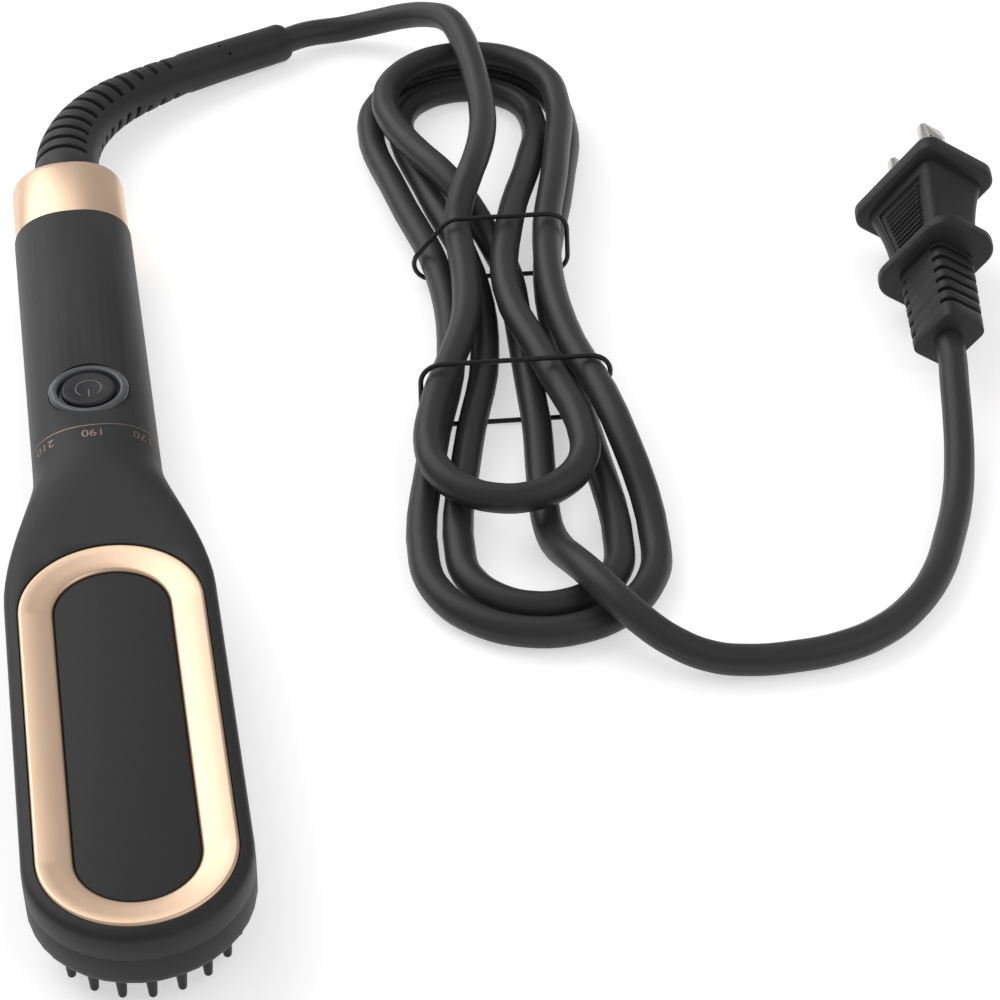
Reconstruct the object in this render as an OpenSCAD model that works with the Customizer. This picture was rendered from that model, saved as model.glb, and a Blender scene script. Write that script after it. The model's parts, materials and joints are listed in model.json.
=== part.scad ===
// Hot comb: a heated flat-backed comb on an oval handle, with its mains lead laid in a tied hank.
// The comb lies on its teeth with its head towards -Y; the lead leaves its tail towards +Y.
// The origin is on the table, under the middle of the comb. All sizes are in millimetres.

/* [Handle] */
// Overall length of the comb, from the end of the collar to the end of the head
comb_l = 264; // [250:1:290]
// Width of the oval handle
handle_w = 28.6; // [27.5:0.1:31]
// Thickness of the oval handle
handle_t = 20.6; // [20:0.1:23]
// Wall of the two housing shells
wall = 1.8; // [1.4:0.1:2.2]
// Length of the metal collar round the tail
collar_l = 25; // [20:0.5:29]
// Wall of the collar
collar_wall = 1.2; // [0.8:0.1:1.4]
// How far the collar lies inside the outline of the handle
collar_inset = 0.4; // [0.2:0.1:0.8]
// Rounding of the collar's far shoulder
collar_round = 4; // [2.5:0.5:5]

/* [Head] */
// Width of the head
head_w = 44.2; // [43:0.2:48]
// Height of the head's back above the handle's axis
back_h = 9; // [8.6:0.1:10]
// Depth of the head's underside below the handle's axis
under_h = 6; // [5.8:0.1:8]
// Height of the parting line above the axis, at the head
parting_h = 2.3; // [1.5:0.1:3]
// Distance from the tail to where the handle starts to widen
neck_start = 118; // [110:1:122]
// Length over which the handle widens into the head
neck_l = 48; // [44:1:52]

/* [Back] */
// Gap from the edge of the head to the trim ring
trim_margin = 2.8; // [2.5:0.1:4]
// Width of the dished trim ring
trim_w = 7.1; // [6:0.1:8]
// Distance from the tail to the near end of the trim ring
trim_start = 152; // [150:0.5:156]
// Thickness of the trim ring at its outer edge
trim_t = 2.4; // [2:0.1:2.8]
// How far the trim ring falls from its outer to its inner edge
trim_dish = 1.1; // [0.4:0.1:1.3]
// Gap round the trim ring and the back panel
trim_gap = 0.15; // [0.1:0.05:0.3]
// Depth of the back panel's face below the crown of the head
panel_depth = 1.7; // [1.3:0.1:1.9]

/* [Button] */
// Distance from the tail to the centre of the button
button_at = 98; // [90:0.5:102]
// Outer diameter of the light ring
ring_d = 18; // [17:0.1:19]
// Inner diameter of the light ring
ring_bore = 14.2; // [13.6:0.1:14.6]
// Diameter of the button's face
button_d = 12.4; // [11:0.1:12.8]
// How far the button presses down
button_travel = 0.6; // [0.3:0.1:0.8]
// Running clearance between the button and the ring, on the radius
button_gap = 0.08; // [0.04:0.01:0.1]

/* [Teeth] */
// Length of the guard teeth below the guard frame
tooth_l = 6; // [5.4:0.1:8]
// Diameter of a guard tooth at its root
tooth_root = 2.4; // [2:0.1:2.8]
// Diameter of a guard tooth at its tip
tooth_tip = 1.7; // [1.2:0.1:1.9]
// Distance from the outline of the head to the row of guard teeth
tooth_inset = 3.9; // [3.6:0.1:4.6]
// Number of gaps between guard teeth along one straight side
side_gaps = 12; // [8:1:14]
// Number of gaps between guard teeth round one end
end_gaps = 10; // [6:2:10]
// Distance between the rows of heated teeth
row_pitch = 10; // [9:0.1:10.4]
// Number of teeth in one heated row
row_teeth = 14; // [12:1:15]
// Diameter of a heated tooth at its root
hot_root = 2.8; // [2.2:0.1:3]

/* [Heater] */
// Thickness of the heated plate
plate_t = 3; // [2.4:0.1:3.6]
// Width of the guard frame between the shell and the heated plate
guard_w = 5; // [4.4:0.1:5.6]
// Thickness of a heating element
element_t = 2; // [1.6:0.1:2.4]
// Length of a heating element
element_l = 30; // [26:0.5:31]

/* [Swivel and lead] */
// Diameter of the swivel stem of the strain relief
stem_d = 9; // [8:0.1:10]
// Running clearance round the swivel stem, on the radius
stem_gap = 0.08; // [0.04:0.01:0.1]
// Diameter of the strain relief where it leaves the collar
relief_root = 16.4; // [15:0.2:17.5]
// Diameter of the strain relief at its end
relief_tip = 10.4; // [9.6:0.2:11]
// Diameter of the mains lead
lead_d = 7; // [6.6:0.1:7.2]
// Diameter of the wire in a hank tie
tie_d = 1.2; // [1:0.1:1.3]

/* [Plug] */
// Width of the plug's front flange
flange_w = 31; // [28:0.5:33]
// Height of the plug's front flange
flange_h = 22.5; // [20:0.5:24]
// Length of the plug without its blades
plug_l = 54; // [50:1:60]
// Distance between the two blades
blade_pitch = 12.7; // [12.4:0.1:13]
// Length of a blade outside the plug
blade_l = 17; // [15:0.5:18]

/* [Hidden] */

// ---- shared shape functions ----

// Smooth step from 0 to 1
function ease(t) = let (c = min(1, max(0, t))) c * c * (3 - 2 * c);
// Signed power, for the superelliptic sections
function spow(v, e) = sign(v) * pow(abs(v), e);

// Half width, top, underside, parting line and squareness of the housing, at distance u from the tail
function half_w(u) = handle_w / 2 + (head_w - handle_w) / 2 * ease((u - neck_start) / neck_l);
function blend_u(u) = ease((u - neck_start) / neck_l * 1.3);
function top_z(u) = handle_t / 2 + (back_h - handle_t / 2) * blend_u(u);
function low_z(u) = -handle_t / 2 + (handle_t / 2 - under_h) * blend_u(u);
function part_z(u) = parting_h * blend_u(u);
function square_n(u) = 2.3 + 5.7 * blend_u(u);

head_r = head_w / 2;
head_c = comb_l - head_r;
shell_steps = 12;
arc_steps = 9;
section_steps = 21;
arc_turn = 90 / (arc_steps + 0.5);

// Stations of a housing loft: [u, half width, radius direction, u of the section's centre]
function stations(inset, from) = concat(
    [[from, half_w(from) - inset, 0, from], [neck_start, half_w(neck_start) - inset, 0, neck_start]],
    [for (i = [1 : shell_steps]) let (u = neck_start + neck_l * i / shell_steps)
        [u, half_w(u) - inset, 0, u]],
    [for (i = [0 : arc_steps]) [head_c, head_r - inset, i * arc_turn, head_c]]);

// One point of a loft: station s, angle t round the section, heights at the parting and at the crown
function loft_point(s, t, z0, z1, n) = let (c = spow(cos(t), 2 / n), h = pow(sin(t), 2 / n))
    [s[1] * cos(s[2]) * c, -(s[3] + s[1] * sin(s[2]) * abs(c)), z0 + (z1 - z0) * h];

// Closed half housing: up is +1 for the back half and -1 for the front half, cap is the wall taken
// off its crown, and skirt carries its open side past the parting line
module half_loft(up, inset, from, cap_handle, cap_head, skirt) {
    st = stations(inset, from);
    m = section_steps;
    w = m + 3;
    pts = [for (s = st) let (
            u = s[0], b = blend_u(u), cap = cap_handle + (cap_head - cap_handle) * b, zp = part_z(u),
            z1 = (up > 0) ? top_z(u) - cap : low_z(u) + cap, edge = [for (t = [0, 180])
                loft_point(s, t, zp - up * skirt, zp, square_n(u))])
        for (j = [0 : w - 1])
            (j == 0) ? edge[0] : (j == w - 1) ? edge[1]
                : loft_point(s, (j - 1) * 180 / m, zp, z1, square_n(u))];
    last = len(st) - 1;
    strips = [for (i = [0 : last - 1]) for (j = [0 : w - 1]) let (
            k = (j + 1) % w, a = i * w + j, b = i * w + k, c = (i + 1) * w + k, d = (i + 1) * w + j)
        each [[a, b, c], [a, c, d]]];
    tip = [for (j = [0 : w / 2 - 2]) let (
            a = last * w + j, b = last * w + j + 1, c = last * w + w - 2 - j, d = last * w + w - 1 - j)
        each [[a, b, c], [a, c, d]]];
    tail = [for (j = [1 : w - 2]) [0, j + 1, j]];
    shape = concat(strips, tip, tail);
    polyhedron(pts, (up < 0) ? shape : [for (f = shape) [f[0], f[2], f[1]]]);
}

// Racetrack outline along Y between two end centres
module racetrack(r, y0, y1) {
    translate([0, y0]) circle(r, $fn = 96);
    translate([0, y1]) circle(r, $fn = 96);
    translate([-r, min(y0, y1)]) square([2 * r, abs(y1 - y0)]);
}

// Racetrack ring with the given half section (radius along X, height along Y)
module racetrack_ring(y0, y1) {
    for (k = [0, 1]) mirror([k, 0, 0])
        translate([0, max(y0, y1), 0]) rotate([90, 0, 0]) linear_extrude(abs(y1 - y0)) children();
    translate([0, max(y0, y1), 0]) rotate_extrude(angle = 180, $fn = 96) children();
    translate([0, min(y0, y1), 0]) rotate([0, 0, 180]) rotate_extrude(angle = 180, $fn = 96) children();
}

// Tube swept through the points p with radius r; closed joins its last ring to its first
function unit(v) = v / norm(v);
function heading(p, i, closed) = let (n = len(p)) closed
    ? unit(p[(i + 1) % n] - p[(i + n - 1) % n])
    : unit(p[min(i + 1, n - 1)] - p[max(i - 1, 0)]);
function ring_at(p, i, r, sides, up, closed) = let (
        t = heading(p, i, closed), s = unit(cross(t, up)), v = cross(s, t))
    [for (k = [0 : sides - 1]) let (a = 90 + 360 * k / sides, q = is_list(r) ? r[i][k] : r)
        p[i] + q * (cos(a) * s + sin(a) * v)];
module sweep(p, r, sides, up = [0, 0, 1], closed = false) {
    n = len(p);
    pts = [for (i = [0 : n - 1]) each ring_at(p, i, r, sides, up, closed)];
    sides_f = [for (i = [0 : closed ? n - 1 : n - 2]) for (k = [0 : sides - 1]) let (
            l = (k + 1) % sides, m = (i + 1) % n, a = i * sides + k, b = i * sides + l,
            c = m * sides + l, d = m * sides + k)
        each [[a, b, c], [a, c, d]]];
    caps = closed ? [] : [for (k = [1 : sides - 2]) each [[0, k + 1, k],
        [(n - 1) * sides, (n - 1) * sides + k, (n - 1) * sides + k + 1]]];
    polyhedron(pts, concat(sides_f, caps));
}

// ---- how the comb lies on the table ----

collar_t = handle_t - 2 * collar_inset;
racetrack_c0 = -(trim_start + head_r - trim_margin);
racetrack_c1 = -head_c;
tooth_r = head_r - tooth_inset;
tip_z = -under_h - tooth_l;
neck_touch = -racetrack_c0 - tooth_r;
// The tail rests on the end of the housing or on the collar: [depth below the axis, distance from the tail]
housing_rest = [handle_t / 2, collar_l];
collar_rest = [collar_t / 2, collar_round];
function tilt_on(rest) = atan((-tip_z - rest[0]) / (neck_touch - rest[1]));
collar_drop = (collar_l - collar_round) * tan(tilt_on(housing_rest));
tail_rest = (collar_drop > collar_inset) ? collar_rest : housing_rest;
tilt = tilt_on(tail_rest);
rest_z = tail_rest[0] * cos(tilt) - tail_rest[1] * sin(tilt);
echo(rest_z = rest_z, tilt = tilt, sin_tilt = sin(tilt), cos_tilt = cos(tilt));

// Puts a piece of the comb, drawn with its tail at the origin and its head along -Y, on the table
module in_comb() {
    translate([0, comb_l / 2, rest_z]) rotate([-tilt, 0, 0]) children();
}

// ---- housing ----

boss_d = 5;
screw_d = 2.2;
screw_l = 5;
screw_head_d = 2 * screw_d - 0.2;
board_t = 1.6;
board_z = 0.4;
board_l = 74;
boss_y = [-button_at - board_l / 2 + 4, -button_at + board_l / 2 - 4];
spigot_l = 6;
pocket_floor = back_h - trim_t - 0.2;
floor_wall = back_h - pocket_floor + wall;
pocket_r = head_r - trim_margin + trim_gap;
guard_r = head_r - wall - 0.5;
ring_seat = handle_t / 2 - 3.2;
ring_hole = ring_d + 2 * trim_gap;
well_d = ring_bore + 2.2;

module back_shell() {
    color("#3b3b3e") in_comb() difference() {
        half_loft(1, 0, collar_l, 0, 0, 0);
        difference() {
            half_loft(1, wall, collar_l - 1, wall, floor_wall, 1);
            // sleeve that carries the light ring
            translate([0, -button_at, ring_seat - 1]) cylinder(d = ring_hole + 2.4, h = 20, $fn = 72);
        }
        // pocket for the trim ring and the back panel
        translate([0, 0, pocket_floor]) linear_extrude(20) racetrack(pocket_r, racetrack_c0, racetrack_c1);
        // seat of the light ring, with the light well below it
        translate([0, -button_at, ring_seat]) cylinder(d = ring_hole, h = 30, $fn = 72);
        translate([0, -button_at, 0]) cylinder(d = well_d, h = 30, $fn = 72);
    }
}

module front_shell() {
    color("#39393c") in_comb() difference() {
        half_loft(-1, 0, collar_l, 0, 0, 0);
        difference() {
            half_loft(-1, wall, collar_l - 1, wall, wall, 1);
            // bosses that carry the circuit board
            for (y = boss_y) translate([0, y, -30]) cylinder(d = boss_d, h = 30 + board_z, $fn = 48);
        }
        for (y = boss_y) translate([0, y, board_z - screw_l - 1])
            cylinder(d = screw_d, h = screw_l + 5, $fn = 32);
        // mouth for the guard frame
        translate([0, 0, -40]) linear_extrude(40) racetrack(guard_r, racetrack_c0, racetrack_c1);
    }
}

// Oval outline of the tail, at a given inset from the handle's outline
oval_n = square_n(0);
oval_steps = 44;
function oval_ring(inset, y) = [for (j = [0 : oval_steps - 1]) let (t = 360 * (j + 0.5) / oval_steps)
    [(handle_w / 2 - inset) * spow(cos(t), 2 / oval_n), y,
        (handle_t / 2 - inset) * spow(sin(t), 2 / oval_n)]];

// Solid lofted through oval rings given as [inset, y], from the head side to the tail side
module oval_loft(rings) {
    n = len(rings);
    m = oval_steps;
    pts = [for (r = rings) each oval_ring(r[0], r[1])];
    sides_f = [for (i = [0 : n - 2]) for (j = [0 : m - 1]) let (
            k = (j + 1) % m, a = i * m + j, b = i * m + k, c = (i + 1) * m + k, d = (i + 1) * m + j)
        each [[a, b, c], [a, c, d]]];
    caps = [for (j = [1 : m - 2]) each [[0, j + 1, j], [(n - 1) * m, (n - 1) * m + j, (n - 1) * m + j + 1]]];
    polyhedron(pts, concat(sides_f, caps));
}

collar_bore = relief_root + 1;
housing_gap = 0.1;
inner_oval = collar_inset + collar_wall + housing_gap;

module tail_collar() {
    shoulder = [for (i = [0 : 4]) let (a = i * 22.5)
        [collar_inset + collar_round * (1 - cos(a)) * 0.7, -collar_round * (1 - sin(a))]];
    color("#dcae92") in_comb() difference() {
        oval_loft(concat([[collar_inset, -collar_l]], shoulder));
        oval_loft([[inner_oval - housing_gap, -collar_l - 1], [inner_oval - housing_gap, -collar_round]]);
        rotate([90, 0, 0]) translate([0, 0, -1]) cylinder(d = collar_bore, h = collar_l, $fn = 72);
    }
}

housing_front = -collar_round - 0.1;
housing_back = -collar_l - spigot_l;
clip_t = 1.6;
clip_d = stem_d + 4;
stem_l = 17;

module swivel_housing() {
    color("#4a4a4d") in_comb() difference() {
        union() {
            oval_loft([[inner_oval, -collar_l], [inner_oval, housing_front]]);
            oval_loft([[wall + 0.1, housing_back], [wall + 0.1, -collar_l]]);
        }
        // bearing of the swivel stem and room for its clip
        rotate([90, 0, 0]) cylinder(d = stem_d + 2 * stem_gap, h = 60, $fn = 72);
        translate([0, -stem_l + clip_t + 0.3, 0]) rotate([90, 0, 0])
            cylinder(d = clip_d + 0.6, h = 40, $fn = 72);
    }
}

// ---- trim, panel, ring and button ----

module trim_ring() {
    outer = head_r - trim_margin;
    inner = outer - trim_w;
    low = pocket_floor;
    edge = 0.5;
    color("#dcae92") in_comb() racetrack_ring(racetrack_c0, racetrack_c1)
        polygon([[inner, low], [outer, low], [outer, back_h - edge], [outer - edge, back_h],
            [inner + edge, back_h - trim_dish], [inner, back_h - trim_dish - edge]]);
}

module back_panel() {
    r = head_r - trim_margin - trim_w - trim_gap;
    bevel = 0.4;
    face = back_h - panel_depth;
    color("#2f2f31") in_comb() {
        translate([0, 0, pocket_floor])
            linear_extrude(face - bevel - pocket_floor) racetrack(r, racetrack_c0, racetrack_c1);
        racetrack_ring(racetrack_c0, racetrack_c1)
            polygon([[0, face - bevel], [r, face - bevel], [r - bevel, face], [0, face]]);
    }
}

ring_top = handle_t / 2 - 0.1;
board_w = 19;
switch_h = 3.4;
switch_top = board_z + board_t + switch_h;
plunger_d = 3.4;
plunger_h = 1.1;
plunger_in = 0.9;
skirt_top = ring_top - 1.3;
skirt_low = ring_seat - 0.9;

module light_ring() {
    color("#a4a6a8") in_comb() translate([0, -button_at, 0]) rotate_extrude($fn = 96)
        polygon([[ring_bore / 2, ring_seat], [ring_d / 2, ring_seat], [ring_d / 2, ring_top - 0.5],
            [ring_d / 2 - 0.5, ring_top], [ring_bore / 2 + 0.3, ring_top], [ring_bore / 2, ring_top - 0.3]]);
}

module power_button() {
    skirt_r = ring_bore / 2 - button_gap;
    face_r = button_d / 2;
    post_low = switch_top + plunger_h;
    lip_r = well_d / 2 - 0.3;
    lip_gap = 0.15;
    color("#343338") in_comb() translate([0, -button_at, 0]) rotate_extrude($fn = 96)
        polygon([[0, post_low], [2.2, post_low], [2.2, ring_seat + 1], [skirt_r - 1.2, ring_seat + 1],
            [skirt_r - 1.2, skirt_low], [lip_r, skirt_low], [lip_r, ring_seat - lip_gap],
            [skirt_r, ring_seat - lip_gap], [skirt_r, skirt_top], [face_r, skirt_top],
            [face_r, ring_top - 0.4], [face_r - 0.5, ring_top],
            [face_r - 3, ring_top - 0.25], [0, ring_top - 0.35]]);
}

module switch_plunger() {
    color("#1c1c1e") in_comb() translate([0, -button_at, switch_top - plunger_in])
        cylinder(d = plunger_d, h = plunger_h + plunger_in, $fn = 48);
}

module tact_switch() {
    color("#8d8f92") in_comb() translate([0, -button_at, board_z + board_t]) difference() {
        translate([-3, -3, 0]) cube([6, 6, switch_h]);
        translate([0, 0, switch_h - plunger_in - button_travel - 0.2])
            cylinder(d = plunger_d + 0.1, h = 5, $fn = 48);
    }
}

module circuit_board() {
    color("#2f6b46") in_comb() difference() {
        translate([-board_w / 2, -button_at - board_l / 2, board_z]) cube([board_w, board_l, board_t]);
        for (y = boss_y) translate([0, y, board_z - 1])
            cylinder(d = screw_d + 0.2, h = board_t + 2, $fn = 32);
    }
}

module board_screws() {
    color("#c9ccce") in_comb() for (y = boss_y) {
        translate([0, y, board_z - screw_l])
            cylinder(d = screw_d - 0.1, h = screw_l + board_t + 0.1, $fn = 32);
        translate([0, y, board_z + board_t + 0.02]) cylinder(d = screw_head_d, h = 1.2, $fn = 32);
    }
}

module ring_leds() {
    led_r = (ring_bore + ring_d) / 4;
    color("#e8edf2") in_comb() for (a = [45 : 90 : 315])
        translate([led_r * cos(a) - 1, -button_at + led_r * sin(a) - 1, board_z + board_t]) cube([2, 2, 1.2]);
}

// ---- guard frame, heated plate and teeth ----

hot_r = head_r - wall - 0.5 - guard_w;
plate_face = -under_h - 0.4;
frame_t = wall + 1.6;
straight = racetrack_c0 - racetrack_c1;
rail_w = 3.2;
rail_t = 1;

module guard_frame() {
    color("#2c2c2e") in_comb() difference() {
        translate([0, 0, -under_h]) linear_extrude(frame_t)
            racetrack(guard_r - 0.1, racetrack_c0, racetrack_c1);
        translate([0, 0, -under_h - 1]) linear_extrude(20) racetrack(hot_r + 0.1, racetrack_c0, racetrack_c1);
        // groove for the rails of the guard teeth
        translate([0, 0, -under_h - 1]) racetrack_ring(racetrack_c0, racetrack_c1)
            translate([tooth_r - rail_w / 2, 0]) square([rail_w, 1 + rail_t]);
    }
}

// One tapered tooth with a rounded tip, standing down from z = 0
module tooth(length, root, tip) {
    rotate([180, 0, 0]) rotate_extrude($fn = 24) {
        polygon([[0, 0], [root / 2, 0], [tip / 2, length - tip / 2], [0, length - tip / 2]]);
        intersection() {
            translate([0, length - tip / 2]) circle(d = tip, $fn = 24);
            translate([0, length - tip / 2]) square(tip);
        }
    }
}

module guard_side(side) {
    pitch = straight / side_gaps;
    rail_end = pitch / 2;
    color("#242426") in_comb() {
        translate([side * tooth_r - (rail_w - 0.2) / 2, racetrack_c1 + rail_end, -under_h])
            cube([rail_w - 0.2, straight - 2 * rail_end, rail_t - 0.05]);
        for (i = [1 : side_gaps - 1])
            translate([side * tooth_r, racetrack_c1 + i * pitch, -under_h])
                tooth(tooth_l, tooth_root, tooth_tip);
    }
}

module guard_end(centre, turn) {
    step = 180 / end_gaps;
    pitch = straight / side_gaps;
    color("#242426") in_comb() translate([0, centre, -under_h]) rotate([0, 0, turn]) {
        rotate_extrude(angle = 180, $fn = 96)
            translate([tooth_r - (rail_w - 0.2) / 2, 0]) square([rail_w - 0.2, rail_t - 0.05]);
        for (x = [-1, 1]) translate([x * tooth_r - (rail_w - 0.2) / 2, -pitch / 2 + 0.1, 0])
            cube([rail_w - 0.2, pitch / 2 - 0.1, rail_t - 0.05]);
        for (i = [0 : end_gaps]) rotate([0, 0, i * step]) translate([tooth_r, 0, 0])
            tooth(tooth_l, tooth_root, tooth_tip);
    }
}
module guard_teeth_left() { guard_side(-1); }
module guard_teeth_right() { guard_side(1); }
module guard_teeth_end() { guard_end(racetrack_c1, 180); }
module guard_teeth_neck() { guard_end(racetrack_c0, 0); }

slot_w = 4;
slot_t = 1.2;
row_l = straight + hot_r;
row_y = (racetrack_c0 + racetrack_c1 - row_l) / 2;
row_end = 3;

module heated_plate() {
    color("#5c5d60") in_comb() difference() {
        translate([0, 0, plate_face]) linear_extrude(plate_t) racetrack(hot_r, racetrack_c0, racetrack_c1);
        for (k = [-1, 0, 1]) translate([k * row_pitch - slot_w / 2, row_y, plate_face - 1])
            cube([slot_w, row_l, 1 + slot_t]);
    }
}

module heated_row(k) {
    pitch = (row_l - 2 * row_end) / (row_teeth - 1);
    color("#c39a80") in_comb() {
        translate([k * row_pitch - slot_w / 2 + 0.05, row_y + 0.05, plate_face])
            cube([slot_w - 0.1, row_l - 0.1, slot_t - 0.05]);
        for (i = [0 : row_teeth - 1])
            translate([k * row_pitch, row_y + row_end + i * pitch, plate_face])
                tooth(tooth_l - 1, hot_root, tooth_tip);
    }
}
module heated_teeth_left() { heated_row(-1); }
module heated_teeth_middle() { heated_row(0); }
module heated_teeth_right() { heated_row(1); }

// ---- what presses the heating elements on the plate ----

stack_w = 20;
element_gap = 2;
seat_gap = 0.02;
sheet_t = 0.4;
sheet_over = 1;
clamp_w = 14;
clamp_t = 1.2;
clamp_screw_head = 0.9;
stack_y = (racetrack_c0 + racetrack_c1) / 2;
stack_l = 2 * element_l + element_gap;
plate_back = plate_face + plate_t;
sheet_z = plate_back + element_t + 0.05;
clamp_z = sheet_z + sheet_t + 0.1;
clamp_top = clamp_z + clamp_t;
screw_y = stack_l / 2 + sheet_over + screw_head_d / 2 + 3;
clamp_l = 2 * (screw_y + 4);

module heating_elements() {
    color("#b9b4a8") in_comb() for (y = [stack_y - stack_l / 2, stack_y + element_gap / 2])
        translate([-stack_w / 2, y, plate_back + seat_gap]) cube([stack_w, element_l, element_t]);
}

module insulating_sheet() {
    size = [stack_w + 2 * sheet_over, stack_l + 2 * sheet_over, sheet_t];
    color("#d9c9a0") in_comb() translate([-size[0] / 2, stack_y - size[1] / 2, sheet_z]) cube(size);
}

module clamp_plate() {
    color("#b7babd") in_comb() difference() {
        translate([-clamp_w / 2, stack_y - clamp_l / 2, clamp_z]) cube([clamp_w, clamp_l, clamp_t]);
        for (k = [-1, 1]) translate([0, stack_y + k * screw_y, clamp_z - 1])
            cylinder(d = screw_d + 0.4, h = clamp_t + 2, $fn = 32);
    }
}

module clamp_screws() {
    color("#c9ccce") in_comb() for (k = [-1, 1]) translate([0, stack_y + k * screw_y, 0]) {
        translate([0, 0, plate_back + seat_gap]) cylinder(d = screw_d, h = clamp_top - plate_back, $fn = 32);
        translate([0, 0, clamp_top + seat_gap]) cylinder(d = screw_head_d, h = clamp_screw_head, $fn = 32);
    }
}

fuse_d = 2;
fuse_l = 9;
bead_d = 1.8;

module thermal_fuse() {
    color("#d8d2c4") in_comb()
        translate([clamp_w / 2 - 3, stack_y + fuse_l + 3, clamp_top + fuse_d / 2 + 0.05])
            rotate([90, 0, 0]) cylinder(d = fuse_d, h = fuse_l, $fn = 32);
}

module temperature_sensor() {
    color("#8c4a2e") in_comb() translate([3 - clamp_w / 2, stack_y, clamp_top + bead_d / 2 + 0.05])
        sphere(d = bead_d, $fn = 32);
}

// ---- wires inside the handle ----

wire_d = 1.6;
wire_z = board_z + board_t + wire_d / 2 + seat_gap;
heater_wire_x = board_w / 2 - 3.5;
supply_wire_x = 3;
solder_l = 6;

// From the board down to the end faces of the near heating element
module heater_wires() {
    wire_end = stack_y + stack_l / 2 + seat_gap;
    end_x = stack_w / 2 - wire_d;
    end_z = plate_back + element_t / 2 + seat_gap;
    color("#a8483c") in_comb() for (s = [-1, 1]) sweep([
        [s * heater_wire_x, boss_y[0] + solder_l, wire_z], [s * heater_wire_x, boss_y[0] - 8, wire_z],
        [s * (heater_wire_x + 0.5), wire_end + 24, wire_z - 0.6],
        [s * (heater_wire_x + end_x) / 2, wire_end + 16, (wire_z + end_z) / 2],
        [s * end_x, wire_end + 9, end_z + 0.3], [s * end_x, wire_end + 3, end_z],
        [s * end_x, wire_end, end_z]], wire_d / 2, 8);
}

// From the board to the turning contact at the end of the swivel stem
module supply_wires() {
    contact_y = -stem_l - 0.25;
    color("#3d5f8f") in_comb() for (s = [-1, 1]) translate([s * supply_wire_x, boss_y[1] - solder_l, wire_z])
        rotate([-90, 0, 0]) cylinder(d = wire_d, h = contact_y - boss_y[1] + solder_l, $fn = 24);
}

// ---- strain relief and swivel ----

// All pieces on the lead are placed from the tail of the comb: [across, beyond the tail, height]
module from_tail() {
    translate([0, comb_l / 2, 0]) children();
}

// Middle of the strain relief, from the collar to its end on the table
relief_route = [[0, 0, rest_z], [0, 6, 9.7], [1.5, 18, 9.4], [6, 30, 9], [14, 41, 8.3],
    [25, 50, 7.3], [38, 58, 6.4], [50, 64, 5.7], [63, 70, 5.3]];
relief_sides = 16;
relief_ribs = 12;
rib_depth = 1.1;

// Point at fraction t of a route, on a smooth curve through its points
function route_point(p, t) = let (
        n = len(p) - 1, i = min(n - 1, floor(t * n)), f = t * n - i,
        a = p[max(0, i - 1)], b = p[i], c = p[i + 1], d = p[min(n, i + 2)])
    b + f * ((c - a) / 2 + f * (a - 2.5 * b + 2 * c - d / 2 + f * (1.5 * (b - c) + (d - a) / 2)));

rib_from = 0.07;
rib_to = 0.66;
relief_stations = concat([0, 0.035],
    [for (i = [0 : relief_ribs - 1]) let (
            a = rib_from + (rib_to - rib_from) * i / relief_ribs, w = (rib_to - rib_from) / relief_ribs)
        each [a, a + 0.12 * w, a + 0.4 * w, a + 0.52 * w]], [rib_to, 0.8, 0.9, 0.98, 1]);
function relief_r(t) = (relief_root + (relief_tip - relief_root) * ease(t * 1.25)) / 2;
function in_rib(t) = let (w = (rib_to - rib_from) / relief_ribs, f = (t - rib_from) / w)
    t > rib_from && t < rib_to && f - floor(f) > 0.1 && f - floor(f) < 0.45;
// A slot spans the two flanks of the relief and leaves a spine above and below its bend
function relief_ring(t) = [for (k = [0 : relief_sides - 1]) let (a = 360 * k / relief_sides)
    relief_r(t) - ((in_rib(t) && abs(sin(a + 65)) > 0.35) ? rib_depth : 0) - ((t == 1) ? 0.6 : 0)];

module strain_relief() {
    color("#2e2e31") {
        from_tail() sweep([for (t = relief_stations) route_point(relief_route, t)],
            [for (t = relief_stations) relief_ring(t)], relief_sides);
        in_comb() rotate([90, 0, 0]) cylinder(d = stem_d, h = stem_l, $fn = 72);
        in_comb() rotate([90, 0, 0]) cylinder(d = relief_root, h = -housing_front - 0.1, $fn = 72);
    }
}

module swivel_clip() {
    color("#c9ccce") in_comb() translate([0, -stem_l + clip_t, 0]) rotate([90, 0, 0]) difference() {
        cylinder(d = clip_d, h = clip_t, $fn = 64);
        translate([0, 0, -1]) cylinder(d = stem_d + 0.02, h = clip_t + 2, $fn = 64);
    }
}

// ---- mains lead ----

lead_r = lead_d / 2;
low_layer = lead_r;
high_layer = lead_r + lead_d + 0.7;

// The hank lies on its own axis: p across it, q along it, far end at +q. Round its waist it is
// raised by the wire of the ties, which pass below it
hank_at = [100, -64];
hank_turn = -4;
tie_r = lead_r + 0.85 + tie_d / 2;
waist_lift = tie_r - lead_r + tie_d / 2;
fold_q = 87;
function in_hank(p, q, z) = [hank_at[0] + p * cos(hank_turn) - q * sin(hank_turn),
    hank_at[1] + p * sin(hank_turn) + q * cos(hank_turn),
    z + waist_lift * min(1, max(0, (1 - abs(q) / fold_q) / 0.4))];

// Folds in the order that the lead takes them: [end, radius, middle along q, middle across p, layer]
fold_in = 17.5;
fold_out = fold_in + lead_d + 1.1;
folds = [[-1, fold_in, 60, -4.5, high_layer], [1, fold_in, fold_q, 0, low_layer],
    [-1, fold_in, fold_q, 0, low_layer], [1, fold_out, fold_q, 0, low_layer],
    [-1, fold_out, fold_q, 0, low_layer], [1, 22.5, fold_q, 1, high_layer]];
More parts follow.
